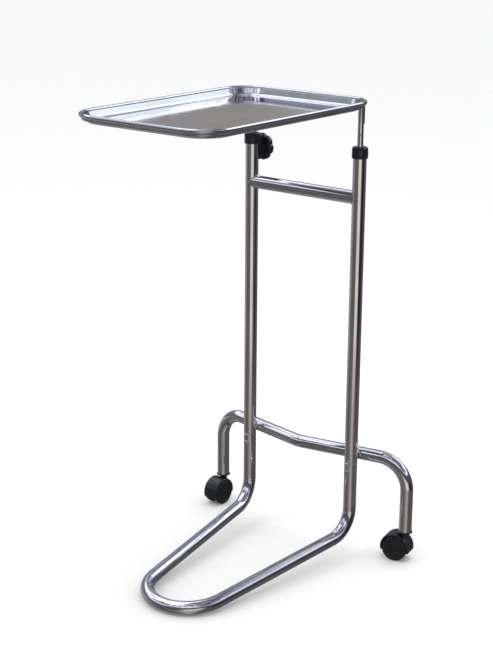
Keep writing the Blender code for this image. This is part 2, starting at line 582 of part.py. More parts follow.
# ------------------------------------------------------------------ casters
for side, (caster_x, turn) in CASTERS.items():
    plug_top = STEM_Z[1] + PLUG_OVER_STEM
    plug_profile = [(STEM_R + GAP, plug_top), (BORE_R - PLUG_TAPER[0], plug_top),
                    (BORE_R - GAP, plug_top - PLUG_TAPER[1]), (BORE_R - GAP, BAR_FOOT_Z - GAP),
                    (FLANGE_R - EDGE, BAR_FOOT_Z - GAP), (FLANGE_R, BAR_FOOT_Z - SOFT_EDGE),
                    (FLANGE_R, BAR_FOOT_Z - FLANGE_THICK),
                    (FLANGE_R - FLANGE_TAPER[0], BAR_FOOT_Z - FLANGE_TAPER[1]),
                    (NECK_R, NECK_TOP + GAP), (STEM_R + GAP, NECK_TOP + GAP)]
    add("caster_plug_" + side, turned_mesh(plug_profile, closed=True), "black_plastic",
        location=(caster_x, BAR_END_Y, 0))
    stem_profile = [(0.0, STEM_Z[1]), (STEM_R - SOFT_EDGE, STEM_Z[1]),
                    (STEM_R, STEM_Z[1] - SOFT_EDGE), (STEM_R, STEM_Z[0] + SOFT_EDGE),
                    (STEM_R - SOFT_EDGE, STEM_Z[0]), (0.0, STEM_Z[0])]
    add("caster_stem_" + side, turned_mesh(stem_profile, sides=16), "steel",
        location=(caster_x, BAR_END_Y, 0))

    pivot = bpy.data.objects.new("caster_pivot_" + side, None)
    pivot.location = (caster_x, BAR_END_Y, 0)
    pivot.rotation_euler = (0, 0, turn)
    parts.objects.link(pivot)
    pivot.parent = root

    # The hood's fender is an annular sector over the wheels; its web carries stem and axle.
    to_wheel = at(0, -TRAIL, WHEEL_R) @ Matrix(((0, 0, 1, 0), (1, 0, 0, 0), (0, 1, 0, 0),
                                                (0, 0, 0, 1)))
    sector = list(arc((0.0, 0.0), HOOD_R, *HOOD_SECTOR, 26))
    sector += list(arc((0.0, 0.0), HOOD_R - HOOD_THICK, *reversed(HOOD_SECTOR), 26))
    hood = add("caster_hood_" + side, outline_mesh(sector, HOOD_HALF_WIDTH, rounding=EDGE),
               "black_plastic", parent=pivot)
    hood.matrix_local = to_wheel
    web = list(arc((0.0, 0.0), HOOD_R - HOOD_THICK / 2, 58.0, 172.0, 16))
    web += list(arc((0.0, 0.0), 3 * AXLE_R, 200.0, 330.0, 8))
    web += [(TRAIL + NECK_R, WEB_LOW), (TRAIL + NECK_R, NECK_FOOT + WEB_OVERLAP - WHEEL_R)]
    join(hood, outline_mesh(web, WEB_HALF), to_wheel)
    join(hood, cylinder_mesh(NECK_R, NECK_TOP - NECK_FOOT, sides=20), at(0, 0, NECK_FOOT))
    cut(hood, cylinder_mesh(STEM_R + GAP, NECK_TOP - STEM_Z[0] + NECK_R, sides=16),
        at(0, 0, STEM_Z[0] - GAP))
    cut(hood, cylinder_mesh(AXLE_R + GAP, 6 * WEB_HALF, sides=16),
        at(-3 * WEB_HALF, -TRAIL, WHEEL_R) @ ALONG_X)

    wheel_axis = bpy.data.objects.new("wheel_axis_" + side, None)
    wheel_axis.location = (0, -TRAIL, WHEEL_R)
    wheel_axis.rotation_euler = (0, math.radians(90.0), 0)
    parts.objects.link(wheel_axis)
    wheel_axis.parent = pivot
    axle_half = WHEEL_OUTER - AXLE_SHORT
    axle_profile = [(0.0, axle_half), (AXLE_R - EDGE, axle_half), (AXLE_R, axle_half - EDGE),
                    (AXLE_R, EDGE - axle_half), (AXLE_R - EDGE, -axle_half), (0.0, -axle_half)]
    add("caster_axle_" + side, turned_mesh(axle_profile, sides=16), "steel", parent=wheel_axis)
    wheel_profile = [(0.0, WHEEL_OUTER - CAP_STEP), (CAP_R, WHEEL_OUTER - CAP_STEP),
                     (CAP_R + CAP_SLOPE, WHEEL_OUTER - DISC_STEP),
                     (WHEEL_R - RIM_WIDTH, WHEEL_OUTER - DISC_STEP),
                     (WHEEL_R - RIM_WIDTH + RIM_SLOPE, WHEEL_OUTER),
                     (WHEEL_R - RIM_ROUNDING[1], WHEEL_OUTER),
                     (WHEEL_R - RIM_ROUNDING[0], WHEEL_OUTER - RIM_ROUNDING[2]),
                     (WHEEL_R, WHEEL_OUTER - RIM_ROUNDING[3]),
                     (WHEEL_R, WHEEL_INNER + TREAD_ROUNDING[1]),
                     (WHEEL_R - TREAD_ROUNDING[0], WHEEL_INNER),
                     (AXLE_R + GAP, WHEEL_INNER), (AXLE_R + GAP, axle_half + GAP),
                     (0.0, axle_half + GAP)]
    wheel_mesh = turned_mesh(wheel_profile, sides=24)
    for face, spin in (("outer", 0.0), ("inner", 180.0)):
        add("caster_wheel_%s_%s" % (side, face), wheel_mesh.copy(), "wheel_plastic",
            parent=wheel_axis, rotation=(math.radians(spin), 0, 0))

bpy.context.view_layer.update()
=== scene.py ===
"""Looks of the double-post instrument stand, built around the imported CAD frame.

Chrome tubes, telescoping rods, a polished stainless tray with a rolled rim, black mouldings
and hooded twin-wheel casters. Metres, in the row frame; positions start from the CAD boxes.
"""

import math

import bmesh
import bpy
import numpy as np
from mathutils import Matrix, Vector


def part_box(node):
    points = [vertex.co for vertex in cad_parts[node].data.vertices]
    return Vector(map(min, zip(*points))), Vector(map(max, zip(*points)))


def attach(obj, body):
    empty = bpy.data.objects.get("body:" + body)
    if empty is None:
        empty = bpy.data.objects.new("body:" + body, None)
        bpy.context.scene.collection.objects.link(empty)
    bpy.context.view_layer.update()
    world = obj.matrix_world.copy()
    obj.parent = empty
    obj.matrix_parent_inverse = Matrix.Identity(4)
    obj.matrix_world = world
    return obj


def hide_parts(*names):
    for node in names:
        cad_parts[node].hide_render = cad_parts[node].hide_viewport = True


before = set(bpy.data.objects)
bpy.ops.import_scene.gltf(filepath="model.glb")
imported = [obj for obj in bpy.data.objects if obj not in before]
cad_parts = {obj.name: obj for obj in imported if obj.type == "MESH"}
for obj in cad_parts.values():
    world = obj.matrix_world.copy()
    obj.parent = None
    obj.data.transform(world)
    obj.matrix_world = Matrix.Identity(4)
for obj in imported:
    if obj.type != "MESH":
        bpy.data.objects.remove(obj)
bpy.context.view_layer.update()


def centre(node):
    """Middle of a CAD node's box."""
    low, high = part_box(node)
    return (low + high) / 2


# ------------------------------------------------------------------ sizes
# The main sizes repeat the CAD's. The rest are fine detail that only the looks have.
POST_L, POST_R = centre("post_left"), centre("post_right")
POST_X = (POST_R.x - POST_L.x) / 2
ORIGIN = Vector(((POST_L.x + POST_R.x) / 2, POST_L.y, 0.0))
SIDES = {"left": -1.0, "right": 1.0}

GAP = 0.0003                     # between pieces that touch on the real stand
TUBE_R, TUBE_WALL, TUBE_LIP = 0.0127, 0.0015, 0.0008
SEAM_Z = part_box("post_left")[0].z
POST_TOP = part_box("post_left")[1].z
RAIL_Z = centre("cross_rail").z
SCREW_Z = centre("coupling_screw_left").z
SCREW_HEAD_R, SCREW_SOCKET_R, SCREW_SOCKET_FLOOR = 0.0045, 0.0017, 0.0006
FOOT_REAR_Z, FOOT_FRONT_Y, FOOT_FRONT_X, FOOT_REAR_BEND = 0.0458, -0.4175, 0.0708, 0.0533
FOOT_FRONT_SHARE = 0.995         # of the room that the front corners leave for their bends
BAR_Z, BAR_APEX_Y, BAR_END_Y, BAR_END_X = 0.2064, -0.0018, 0.0419, 0.2310
BAR_APEX_BEND, BAR_END_BEND, BAR_FOOT_Z = 0.0690, 0.0600, 0.0610
SEAM_R, SEAM_SIDES, SEAM_RIPPLE = 0.0009, 72, 0.00012
WELD_HALF, WELD_R, WELD_RIPPLE = 0.0088, 0.0019, 0.00022
COLLAR_R = 0.0151
COLLAR_Z0, COLLAR_Z1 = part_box("guide_collar")[0].z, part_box("guide_collar")[1].z
ROD_R = 0.00555
ROD_Z0, ROD_Z1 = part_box("inner_rod_left")[0].z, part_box("inner_rod_left")[1].z
PIN_Z = centre("rod_pin_left").z
PIN_TURN = math.radians(45.0)
BAND_R, BAND_RISE = 0.00035, 0.0046
CLAMP_Z = 0.7835
LUG_HALF, LUG_Y0, LUG_Y1, LUG_DROP, LUG_CORNER = 0.0100, 0.0110, 0.0215, 0.0060, 0.0022
KNOB_R, KNOB_LOBE, KNOB_LOBES, KNOB_PHASE = 0.0247, 0.0017, 7, 0.18
KNOB_Y = (0.0240, 0.0368)
KNOB_DISH_R, KNOB_CAP_R, KNOB_SIDES = 0.0125, 0.0056, 24 * KNOB_LOBES
TRAY_X, TRAY_REAR_Y, TRAY_FRONT_Y, TRAY_CORNER = 0.1605, 0.0118, -0.4740, 0.064
TRAY_TOP, TRAY_FLOOR, TRAY_SHEET = 0.9045, 0.8870, 0.0009
BEAD_R, FLOOR_INSET, FLOOR_BEND = 0.0036, 0.0140, 0.0080
FRAME_R, FRAME_INSET, FRAME_Z = 0.0025, 0.0070, 0.8940
BRACE_Y, BRACE_WELD_R, BRACE_WELD_HALF = 0.0084, 0.0010, 0.0028
WHEEL_R, WHEEL_INNER, WHEEL_OUTER = 0.0255, 0.0062, 0.0185
TRAIL, HOOD_R, HOOD_HALF_WIDTH = 0.0165, 0.0300, 0.0172
HOOD_SHEET, HOOD_EDGE, HOOD_LIP = 0.0022, 0.0034, 0.0013
HOOD_START, HOOD_SWEEP, HOOD_LIP_SHARE = -12.0, 208.0, 0.28
NECK_TOP, NECK_R, FLANGE_R, STEM_R = 0.0562, 0.0068, 0.0146, 0.0036
NECK_FOOT, NECK_FOOT_R, NECK_SHOULDER, NECK_WAIST = 0.0462, 0.0092, 0.0482, 0.0530
PLUG_LENGTH, FLANGE_THICKNESS, WEB_HUB_R = 0.020, 0.0016, 0.0090
WHEEL_DISH_R, WHEEL_BORE_R = 0.0180, 0.0033
CASTERS = {"left": (-BAR_END_X, 0.0), "right": (BAR_END_X, math.radians(-79.0))}

ON_AXIS = 1e-7                   # a radius below this is a point on the axis
SLAB_STEPS = 4
NOISE_ROUGHNESS = 0.55
MIX_INPUTS, MIX_OUTPUT = (0, 6, 7), 2     # a Mix node's factor and colour sockets


# ------------------------------------------------------------------ node materials
def fill_ramp(ramp, stops):
    """Give a colour ramp these stops: (position, grey value or colour)."""
    ramp.elements.remove(ramp.elements[1])
    for index, (position, colour) in enumerate(stops):
        element = ramp.elements[0] if index == 0 else ramp.elements.new(position)
        element.position = position
        if isinstance(colour, float):
            colour = (colour, colour, colour)
        element.color = (*colour, 1.0)


class Nodes:
    """A small helper for wiring a material's node tree."""

    def __init__(self, name):
        self.mat = bpy.data.materials.new(name)
        self.mat.use_nodes = True
        self.tree = self.mat.node_tree
        self.shader = self.tree.nodes["Principled BSDF"]
        self.coords = self.tree.nodes.new("ShaderNodeTexCoord").outputs["Object"]

    def link(self, source, target):
        self.tree.links.new(source, target)

    def noise(self, scale, detail=3.0, stretch=None):
        node = self.tree.nodes.new("ShaderNodeTexNoise")
        node.inputs["Scale"].default_value = scale
        node.inputs["Detail"].default_value = detail
        node.inputs["Roughness"].default_value = NOISE_ROUGHNESS
        if stretch is None:
            self.link(self.coords, node.inputs["Vector"])
        else:
            mapping = self.tree.nodes.new("ShaderNodeMapping")
            mapping.inputs["Scale"].default_value = stretch
            self.link(self.coords, mapping.inputs["Vector"])
            self.link(mapping.outputs["Vector"], node.inputs["Vector"])
        return node.outputs["Fac"]

    def ramp(self, source, stops):
        """Colour ramp; a stop is (position, grey value or colour)."""
        node = self.tree.nodes.new("ShaderNodeValToRGB")
        fill_ramp(node.color_ramp, stops)
        self.link(source, node.inputs["Fac"])
        return node.outputs["Color"]

    def math(self, operation, a, b):
        node = self.tree.nodes.new("ShaderNodeMath")
        node.operation = operation
        for value, socket in zip((a, b), node.inputs):
            if isinstance(value, (int, float)):
                socket.default_value = value
            else:
                self.link(value, socket)
        return node.outputs[0]

    def mix(self, factor, a, b):
        node = self.tree.nodes.new("ShaderNodeMix")
        node.data_type = "RGBA"
        for value, index in zip((factor, a, b), MIX_INPUTS):
            if isinstance(value, tuple):
                node.inputs[index].default_value = (*value, 1.0)
            else:
                self.link(value, node.inputs[index])
        return node.outputs[MIX_OUTPUT]

    def bump(self, height, strength, distance, normal=None):
        node = self.tree.nodes.new("ShaderNodeBump")
        node.inputs["Strength"].default_value = strength
        node.inputs["Distance"].default_value = distance
        self.link(height, node.inputs["Height"])
        if normal is not None:
            self.link(normal, node.inputs["Normal"])
        return node.outputs["Normal"]

    def finish(self, colour, roughness, normal, metallic):
        self.link(colour, self.shader.inputs["Base Color"])
        self.link(roughness, self.shader.inputs["Roughness"])
        self.link(normal, self.shader.inputs["Normal"])
        self.shader.inputs["Metallic"].default_value = metallic
        return self.mat


def metal(name, dark, light, rough_low, rough_high, grain=(1.0, 1.0, 1.0), wave=0.0, scuff=0.10):
    """Bright metal: faint tarnish, fingerprints in the roughness, fine scratches."""
    n = Nodes(name)
    colour = n.ramp(n.noise(14.0, 4.0), [(0.35, dark), (0.65, light)])
    prints = n.ramp(n.noise(55.0, 5.0), [(0.42, rough_low), (0.70, rough_high)])
    scratch = n.noise(700.0, 2.0, stretch=grain)
    marks = n.ramp(scratch, [(0.62, 0.0), (0.82, scuff)])
    roughness = n.math("ADD", prints, marks)
    normal = n.bump(scratch, 0.012, 0.00006)
    if wave:
        normal = n.bump(n.noise(7.0, 1.0), wave, 0.004, normal)
    return n.finish(colour, roughness, normal, 1.0)


def moulding(name, colour, dust, rough_low, rough_high, dust_amount=0.2):
    """Moulded plastic: fine texture, polished and scuffed patches, a little dust or wear."""
    n = Nodes(name)
    patches = n.ramp(n.noise(60.0, 5.0), [(0.46, 0.0), (0.80, dust_amount)])
    base = n.mix(patches, colour, dust)
    roughness = n.ramp(n.noise(35.0, 4.0), [(0.35, rough_low), (0.68, rough_high)])
    fine = n.noise(900.0, 2.0)
    scuffs = n.ramp(n.noise(240.0, 3.0, stretch=(1.0, 1.0, 0.25)), [(0.64, 0.0), (0.72, 1.0)])
    normal = n.bump(fine, 0.10, 0.00008)
    normal = n.bump(scuffs, 0.06, 0.00010, normal)
    return n.finish(base, roughness, normal, 0.0)


CHROME = metal("chrome_plate", (0.74, 0.73, 0.745), (0.84, 0.83, 0.84), 0.035, 0.11,
               grain=(1.0, 1.0, 0.12))
CHROME_FOOT = metal("chrome_plate_foot", (0.70, 0.69, 0.72), (0.83, 0.82, 0.84), 0.05, 0.15,
                    grain=(1.0, 0.15, 1.0), scuff=0.16)
CHROME_BAR = metal("chrome_plate_bar", (0.72, 0.71, 0.73), (0.83, 0.82, 0.84), 0.04, 0.13,
                   grain=(0.15, 1.0, 1.0), scuff=0.14)
CHROME_ROD = metal("chrome_rod", (0.70, 0.70, 0.71), (0.80, 0.80, 0.80), 0.05, 0.14,
                   grain=(1.0, 1.0, 0.05), scuff=0.18)
CHROME_LOOP = metal("chrome_loop", (0.50, 0.50, 0.52), (0.62, 0.62, 0.63), 0.08, 0.18, scuff=0.04)
WELD = metal("plated_weld_bead", (0.60, 0.58, 0.57), (0.78, 0.77, 0.76), 0.12, 0.28)
STAINLESS = metal("stainless_polished", (0.66, 0.67, 0.69), (0.76, 0.77, 0.79), 0.05, 0.13,
                  grain=(0.5, 0.20, 0.5), wave=0.10, scuff=0.06)
STEEL = metal("zinc_plated_steel", (0.44, 0.44, 0.45), (0.62, 0.62, 0.62), 0.22, 0.38)
BRASS = metal("turned_brass", (0.66, 0.47, 0.20), (0.80, 0.62, 0.32), 0.20, 0.34)
COLLAR_PLASTIC = moulding("collar_plastic", (0.009, 0.009, 0.011), (0.040, 0.040, 0.044), 0.24, 0.42)
KNOB_PLASTIC = moulding("knob_plastic", (0.007, 0.008, 0.010), (0.034, 0.035, 0.040), 0.20, 0.38)
HOOD_PLASTIC = moulding("hood_plastic", (0.008, 0.010, 0.014), (0.036, 0.041, 0.050), 0.22, 0.40)
WHEEL_PLASTIC = moulding("wheel_plastic", (0.006, 0.007, 0.009), (0.040, 0.040, 0.042), 0.36, 0.58)
NYLON = moulding("natural_nylon", (0.70, 0.69, 0.63), (0.52, 0.50, 0.45), 0.42, 0.60,
                 dust_amount=0.35)


# ------------------------------------------------------------------ mesh helpers
def bent(corners, radii, steps, closed=False):
    """Corner points joined by straight runs and circular bends."""
    corners = [Vector(c) for c in corners]
    count, path = len(corners), []
    for index, corner in enumerate(corners):
        radius = radii[index]
        if radius == 0 or (not closed and index in (0, count - 1)):
            path.append(corner)
            continue
        back = (corners[index - 1] - corner).normalized()
        ahead = (corners[(index + 1) % count] - corner).normalized()
        half = back.angle(ahead) / 2
        middle = corner + (back + ahead).normalized() * radius / math.sin(half)
        start = corner + back * radius / math.tan(half) - middle
        side = corner + ahead * radius / math.tan(half) - middle
        side = (side - start * side.dot(start) / radius ** 2).normalized() * radius
        sweep = math.pi - 2 * half
        for step in range(steps + 1):
            angle = sweep * step / steps
            path.append(middle + start * math.cos(angle) + side * math.sin(angle))
    return path


def piece(name, verts, faces, mat, body, replaces=(), sharp=38.0, matrix=None):
    """A mesh piece in the row frame that rides on a body and stands for CAD nodes."""
    mesh = bpy.data.meshes.new(name)
    mesh.from_pydata([tuple(v) for v in verts], [], faces)
    bm = bmesh.new()
    bm.from_mesh(mesh)
    bmesh.ops.recalc_face_normals(bm, faces=bm.faces)
    bm.to_mesh(mesh)
    bm.free()
    mesh.transform(Matrix.Translation(ORIGIN) @ (matrix or Matrix.Identity(4)))
    mesh.shade_smooth()
    mesh.set_sharp_from_angle(angle=math.radians(sharp))
    mesh.materials.append(mat)
    obj = bpy.data.objects.new(name, mesh)
    bpy.context.scene.collection.objects.link(obj)
    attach(obj, body)
    if replaces:
        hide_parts(*replaces)
    return obj


def ring_faces(low, high):
    """Quads between two closed rings of vertex numbers."""
    count = len(low)
    return [(low[k], low[(k + 1) % count], high[(k + 1) % count], high[k]) for k in range(count)]


def frames(path, closed):
    """Section axes carried along the path without twist."""
    count = len(path)
    tangents = []
    for k in range(count):
        if closed:
            ahead, behind = path[(k + 1) % count], path[k - 1]
        else:
            ahead, behind = path[min(k + 1, count - 1)], path[max(k - 1, 0)]
        tangents.append((ahead - behind).normalized())
    seed = Vector((0, 0, 1)) if abs(tangents[0].z) < 0.9 else Vector((0, 1, 0))
    u = (seed - tangents[0] * seed.dot(tangents[0])).normalized()
    out = []
    for tangent in tangents:
        u = (u - tangent * u.dot(tangent)).normalized()
        out.append((u, tangent.cross(u)))
    return out


def skin(path, radius, sides, closed=False, first=0):
    """Rings of points round a path, and the faces between them."""
    verts, rings = [], []
    for point, (u, v) in zip(path, frames(path, closed)):
        ring = []
        for k in range(sides):
            angle = 2 * math.pi * k / sides
            ring.append(first + len(verts))
            verts.append(point + (u * math.cos(angle) + v * math.sin(angle)) * radius)
        rings.append(ring)
    faces = []
    for low, high in zip(rings, rings[1:]):
        faces += ring_faces(low, high)
    if closed:
        faces += ring_faces(rings[-1], rings[0])
    return verts, faces, rings


def tube(path, sides):
    """Open-ended tube with a wall, its outer edges eased at both ends."""
    start = (path[1] - path[0]).normalized()
    end = (path[-1] - path[-2]).normalized()
    body = [path[0] + start * TUBE_LIP] + path[1:-1] + [path[-1] - end * TUBE_LIP]
    verts, faces, rings = skin(body, TUBE_R, sides)
    ends = []
    for tip, ring, axis_point in ((path[0], rings[0], body[0]), (path[-1], rings[-1], body[-1])):
        smaller = []
        for k in ring:
            smaller.append(len(verts))
            verts.append(tip + (verts[k] - axis_point) * ((TUBE_R - TUBE_LIP) / TUBE_R))
        ends.append(smaller)
    faces += ring_faces(rings[0], ends[0]) + ring_faces(rings[-1], ends[1])
    more, inside, inner_rings = skin(path, TUBE_R - TUBE_WALL, sides, first=len(verts))
    verts += more
    faces += inside
    faces += ring_faces(ends[0], inner_rings[0]) + ring_faces(ends[1], inner_rings[-1])
    return verts, faces


def rod(path, radius, sides, closed=False, round_end=0.0):
    """Solid round bar along a path."""
    if not closed and round_end:
        start = (path[1] - path[0]).normalized()
        end = (path[-1] - path[-2]).normalized()
        path = [path[0] + start * round_end] + path[1:-1] + [path[-1] - end * round_end]
    verts, faces, rings = skin(path, radius, sides, closed)
    if not closed:
        for ring, point, before in ((rings[0], path[0], path[1]), (rings[-1], path[-1], path[-2])):
            if round_end:
                axis = (point - before).normalized()
                last = ring
                for angle in (30, 60, 80):
                    a = math.radians(angle)
                    share = (radius - round_end * (1 - math.cos(a))) / radius
                    grown = []
                    for k in ring:
                        grown.append(len(verts))
                        side = (verts[k] - point) * share
                        verts.append(point + side + axis * round_end * math.sin(a))
                    faces += ring_faces(last, grown)
                    last = grown
                ring = last
            faces.append(tuple(ring))
    return verts, faces


def lathe(profile, sides, closed=False):
    """Turn (radius, height) points about Z; a closed profile makes a ring-shaped solid."""
    verts, rings = [], []
    for radius, height in profile:
        if radius < ON_AXIS:
            rings.append([len(verts)])
            verts.append(Vector((0.0, 0.0, height)))
            continue
        ring = []
        for k in range(sides):
            angle = 2 * math.pi * k / sides
            ring.append(len(verts))
            verts.append(Vector((radius * math.cos(angle), radius * math.sin(angle), height)))
        rings.append(ring)
    faces = []
    pairs = list(zip(rings, rings[1:])) + ([(rings[-1], rings[0])] if closed else [])
    for low, high in pairs:
        if len(low) == 1:
            faces += [(low[0], high[(k + 1) % sides], high[k]) for k in range(sides)]
        elif len(high) == 1:
            faces += [(low[k], low[(k + 1) % sides], high[0]) for k in range(sides)]
        else:
            faces += ring_faces(low, high)
    return verts, faces


def eased(points, radii, steps, closed=False):
    """A profile whose corners are rounded by their own radii."""
    path = bent([(x, 0.0, z) for x, z in points], radii, steps, closed)
    return [(p.x, p.z) for p in path]


def slab(outline, half, ease):
    """Anticlockwise outline in XY, thick along Z, its rims rounded."""
    count = len(outline)
    points = [Vector((x, y, 0.0)) for x, y in outline]
    inward = []
    for k in range(count):
        along = points[(k + 1) % count] - points[k - 1]
        inward.append(Vector((-along.y, along.x, 0.0)).normalized())
    levels = []
    for step in range(SLAB_STEPS + 1):
        a = math.pi / 2 * step / SLAB_STEPS
        levels.append((ease * (1 - math.sin(a)), -half + ease * (1 - math.cos(a))))
    levels += [(inset, -z) for inset, z in reversed(levels)]
    verts, rings, faces = [], [], []
    for inset, z in levels:
        ring = []
        for point, direction in zip(points, inward):
            ring.append(len(verts))
            verts.append(point + direction * inset + Vector((0, 0, z)))
        rings.append(ring)
    for low, high in zip(rings, rings[1:]):
        faces += ring_faces(low, high)
    faces += [tuple(rings[0]), tuple(rings[-1])]
    return verts, faces


def arc(middle, radius, start, end, steps):
    """Points on a circle, from one angle to another, in degrees."""
    for step in range(steps + 1):
        a = math.radians(start + (end - start) * step / steps)
        yield (middle[0] + radius * math.cos(a), middle[1] + radius * math.sin(a))


def at(x, y, z):
    """A shift by x, y and z."""
    return Matrix.Translation((x, y, z))


def straight(a, b, count):
    """Points spread evenly on a line, so that long tubes keep even faces."""
    return [Vector(a).lerp(Vector(b), k / count) for k in range(count + 1)]


TO_Y = Matrix.Rotation(math.radians(-90.0), 4, "X")      # +Z turned to +Y

# ------------------------------------------------------------------ posts, rail and foot
for side, sign in SIDES.items():
    verts, faces = tube(straight((0, 0, SEAM_Z), (0, 0, POST_TOP), 12), sides=64)
    piece("post_tube_" + side, verts, faces, CHROME, "stand",
          ["post_" + side], matrix=at(sign * POST_X, 0, 0))

# The rail: a tube whose ends are cut to the shape of the posts and sit against them.
RAIL_SIDES = 64
verts, faces, rings = [], [], []
for radius, order in ((TUBE_R, (-1, 1)), (TUBE_R - TUBE_WALL, (1, -1))):
    for end in order:
        ring = []
        for k in range(RAIL_SIDES):
            a = 2 * math.pi * k / RAIL_SIDES
            y, z = radius * math.cos(a), radius * math.sin(a)
            ring.append(len(verts))
            cope = math.sqrt(max(TUBE_R ** 2 - y ** 2, 0.0))
            verts.append(Vector((end * (POST_X - cope), y, z)))
        rings.append(ring)
for low, high in zip(rings, rings[1:] + rings[:1]):
    faces += ring_faces(low, high)
piece("rail_tube", verts, faces, CHROME_BAR, "stand", ["cross_rail"],
      matrix=at(0, 0, RAIL_Z))

# Weld seams round the rail's ends, slightly uneven.
for side, sign in SIDES.items():
    seam = []
    for k in range(SEAM_SIDES):
        a = 2 * math.pi * k / SEAM_SIDES
        reach = TUBE_R + 0.0002
        y = reach * math.cos(a)
        cope = math.sqrt((TUBE_R + GAP) ** 2 - min(y * y, TUBE_R ** 2))
        ripple = SEAM_RIPPLE * math.sin(9 * a) * math.sin(4 * a + 1.0)
        seam.append(Vector((-sign * (cope + 0.0002 + ripple), y, reach * math.sin(a))))
    verts, faces = rod(seam, SEAM_R, 10, closed=True)
    piece("rail_weld_" + side, verts, faces, WELD, "stand",
          matrix=at(sign * POST_X, 0, RAIL_Z))

front_leg = Vector((FOOT_FRONT_X - POST_X, FOOT_FRONT_Y, TUBE_R - FOOT_REAR_Z))
front_half = front_leg.angle(Vector((1.0, 0.0, 0.0))) / 2
front_bend = FOOT_FRONT_SHARE * FOOT_FRONT_X * math.tan(front_half)
stub_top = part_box("base_tube")[1].z
foot_path = bent(
    [(-POST_X, 0, stub_top), (-POST_X, 0, FOOT_REAR_Z), (-FOOT_FRONT_X, FOOT_FRONT_Y, TUBE_R),
     (FOOT_FRONT_X, FOOT_FRONT_Y, TUBE_R), (POST_X, 0, FOOT_REAR_Z), (POST_X, 0, stub_top)],
    [0, FOOT_REAR_BEND, front_bend, front_bend, FOOT_REAR_BEND, 0], 26)
verts, faces = tube(foot_path, sides=56)
piece("foot_tube", verts, faces, CHROME_FOOT, "stand", ["base_tube"])

bar_path = bent(
    [(-BAR_END_X, BAR_END_Y, BAR_FOOT_Z), (-BAR_END_X, BAR_END_Y, BAR_Z), (0, BAR_APEX_Y, BAR_Z),
     (BAR_END_X, BAR_END_Y, BAR_Z), (BAR_END_X, BAR_END_Y, BAR_FOOT_Z)],
    [0, BAR_END_BEND, BAR_APEX_BEND, BAR_END_BEND, 0], 24)
verts, faces = tube(bar_path, sides=56)
piece("crossbar_tube", verts, faces, CHROME_BAR, "stand", ["caster_crossbar"])

# Weld beads where the crossbar sits on the uprights, a run of overlapping ripples.
bar_slope = (BAR_END_Y - BAR_APEX_Y) / BAR_END_X
for side, sign in SIDES.items():
    for level, lift in (("upper", 1.0), ("lower", -1.0)):
        bead = []
        for k in range(25):
            x = WELD_HALF * (k / 12 - 1.0)
            on_post = math.sqrt((TUBE_R + GAP) ** 2 - x * x)
            bar_y = BAR_APEX_Y + bar_slope * (POST_X + x * sign)
            drop = bar_y - on_post
            rise = math.sqrt(max(TUBE_R ** 2 - drop * drop, 0.0))
            bead.append(Vector((sign * POST_X + x, on_post + 0.0004, BAR_Z + lift * (rise + 0.0004))))
        verts, faces = rod(bead, WELD_R, 14, round_end=0.0014)
        middle = sum(bead, Vector()) / len(bead)
        verts = [v + (v - middle).normalized() * WELD_RIPPLE * math.sin(1500.0 * v.x) for v in verts]
        piece("weld_bead_%s_%s" % (side, level), verts, faces, WELD, "stand",
              ["crossbar_weld_%s_%s" % (side, level)])

# Button-head socket screws that hold the posts to the foot.
head = eased([(0.0, SCREW_SOCKET_FLOOR), (SCREW_SOCKET_R - 0.0001, SCREW_SOCKET_FLOOR),
              (SCREW_SOCKET_R, 0.0023), (0.0030, 0.0021), (SCREW_HEAD_R, 0.0007),
              (SCREW_HEAD_R, 0.0), (0.0, 0.0)],
             [0, 0.0001, 0.0004, 0.0012, 0.0003, 0.0001, 0], 4)
for side, sign in SIDES.items():
    verts, faces = lathe(head, 40)
    for vertex in verts:
        reach = math.hypot(vertex.x, vertex.y)
        if ON_AXIS < reach < SCREW_SOCKET_R + 0.00005:   # six-sided socket
            a = math.atan2(vertex.y, vertex.x) % (math.pi / 3) - math.pi / 6
            vertex.xy *= 0.94 / math.cos(a)
    piece("joint_screw_" + side, verts, faces, STEEL, "stand",
          ["coupling_screw_" + side],
          matrix=at(sign * POST_X, -TUBE_R + 0.0002, SCREW_Z)
          @ Matrix.Rotation(math.radians(90.0), 4, "X"))

# ------------------------------------------------------------------ collars and clamp
collar = eased([(ROD_R + 0.0004, COLLAR_Z1 - 0.0006), (ROD_R + 0.0012, COLLAR_Z1),
                (COLLAR_R, COLLAR_Z1), (COLLAR_R, COLLAR_Z0), (TUBE_R + GAP, COLLAR_Z0),
                (TUBE_R + GAP, POST_TOP + GAP), (ROD_R + 0.0004, POST_TOP + GAP)],
               [0.0002, 0.0006, 0.0046, 0.0012, 0.0003, 0.0002, 0.0002], 8, closed=True)
for side, sign in SIDES.items():
    verts, faces = lathe(collar, 64, closed=True)
    node = "clamp_collar" if side == "left" else "guide_collar"
    piece("collar_cap_" + side, verts, faces, COLLAR_PLASTIC, "stand", [node],
          matrix=at(sign * POST_X, 0, 0))
    band = [Vector((math.cos(a), math.sin(a), 0.0)) * (COLLAR_R + 0.00005)
            for a in np.linspace(0, 2 * math.pi, 96, endpoint=False)]
    verts, faces = rod(band, BAND_R, 8, closed=True)
    piece("collar_band_" + side, verts, faces, COLLAR_PLASTIC, "stand",
          matrix=at(sign * POST_X, 0, COLLAR_Z0 + BAND_RISE))

